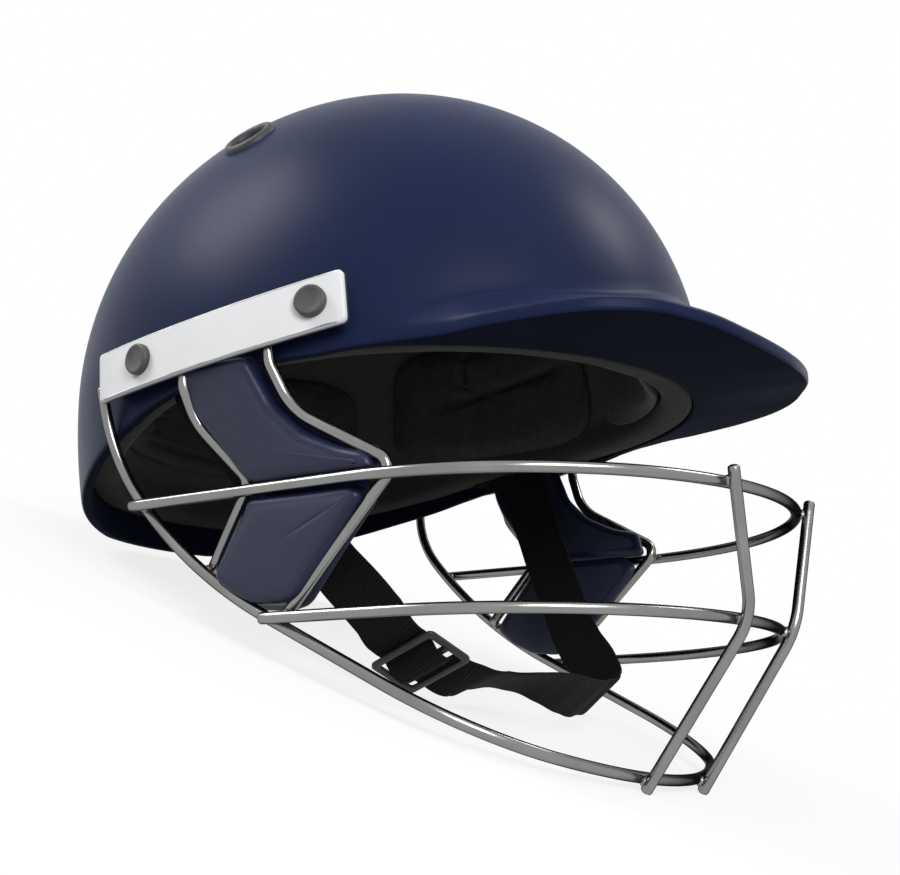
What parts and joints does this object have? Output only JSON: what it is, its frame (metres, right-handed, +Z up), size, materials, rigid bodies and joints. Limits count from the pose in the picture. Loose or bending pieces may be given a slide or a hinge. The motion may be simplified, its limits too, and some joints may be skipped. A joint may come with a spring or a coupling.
{
  "type": "cricket helmet",
  "caption": "Cricket helmet with a peaked hard shell, foam liner, steel wire face guard, padded cheek guards and a webbing chin strap with a slide buckle.",
  "frame": {"origin": "centre of the bounding box on the ground plane, with the helmet standing on its rear rim and on the chin end of the face guard", "axes": "+Z up, +Y towards the back of the helmet, +X towards the wearer's left, so the peak faces -Y"},
  "size_m": [0.237, 0.3126, 0.2182],
  "materials": {
    "shell_plastic": "satin navy",
    "liner_foam": "matt grey foam",
    "pad_fabric": "black knitted fabric over foam",
    "cheek_fabric": "blue-grey fabric over foam",
    "grommet_plastic": "matt dark grey",
    "plate_plastic": "satin white",
    "steel_wire": "satin polished",
    "screw_cap": "matt grey",
    "fixing_steel": "zinc plated",
    "webbing": "black ribbed webbing",
    "buckle_plastic": "matt dark grey"
  },
  "bodies": {
    "helmet": {"shell": "shell_plastic", "peak_core": "liner_foam", "liner": "liner_foam", "brow_pad": "pad_fabric", "side_pad_left": "pad_fabric", "side_pad_right": "pad_fabric", "rear_pad": "pad_fabric", "crown_pad": "pad_fabric", "vent_grommet_left": "grommet_plastic", "side_plate_left": "plate_plastic", "front_upright_left": "steel_wire", "front_pad_wire_left": "steel_wire", "rear_pad_wire_left": "steel_wire", "upper_cheek_pad_left": "cheek_fabric", "lower_cheek_pad_left": "cheek_fabric", "strap_rivet_left": "fixing_steel", "front_nut_left": "fixing_steel", "rear_nut_left": "fixing_steel", "vent_grommet_right": "grommet_plastic", "side_plate_right": "plate_plastic", "front_upright_right": "steel_wire", "front_pad_wire_right": "steel_wire", "rear_pad_wire_right": "steel_wire", "upper_cheek_pad_right": "cheek_fabric", "lower_cheek_pad_right": "cheek_fabric", "strap_rivet_right": "fixing_steel", "front_nut_right": "fixing_steel", "rear_nut_right": "fixing_steel", "top_hoop": "steel_wire", "middle_hoop": "steel_wire", "lower_hoop": "steel_wire"},
    "chin_strap": {"chin_strap": "webbing", "buckle": "buckle_plastic"},
    "front_screw_left": {"front_screw_left": "screw_cap"},
    "front_screw_right": {"front_screw_right": "screw_cap"},
    "rear_screw_left": {"rear_screw_left": "screw_cap"},
    "rear_screw_right": {"rear_screw_right": "screw_cap"}
  },
  "joints": [
    {"name": "chin_strap_swing", "type": "hinge", "parent": "helmet", "child": "chin_strap", "pos_m": [0, 0.03927, 0.08403], "axis": [-1, 0, 0], "range_deg": [0, 15]},
    {"name": "front_screw_left_turn", "type": "hinge", "parent": "helmet", "child": "front_screw_left", "pos_m": [0.1085, -0.01226, 0.11459], "axis": [0.9569, -0.2516, 0.1449], "continuous": true},
    {"name": "front_screw_right_turn", "type": "hinge", "parent": "helmet", "child": "front_screw_right", "pos_m": [-0.1085, -0.01226, 0.11459], "axis": [-0.9569, -0.2516, 0.1449], "continuous": true},
    {"name": "rear_screw_left_turn", "type": "hinge", "parent": "helmet", "child": "rear_screw_left", "pos_m": [0.11339, 0.04743, 0.07867], "axis": [0.9887, 0.1311, -0.0733], "continuous": true},
    {"name": "rear_screw_right_turn", "type": "hinge", "parent": "helmet", "child": "rear_screw_right", "pos_m": [-0.11339, 0.04743, 0.07867], "axis": [-0.9887, 0.1311, -0.0733], "continuous": true}
  ]
}
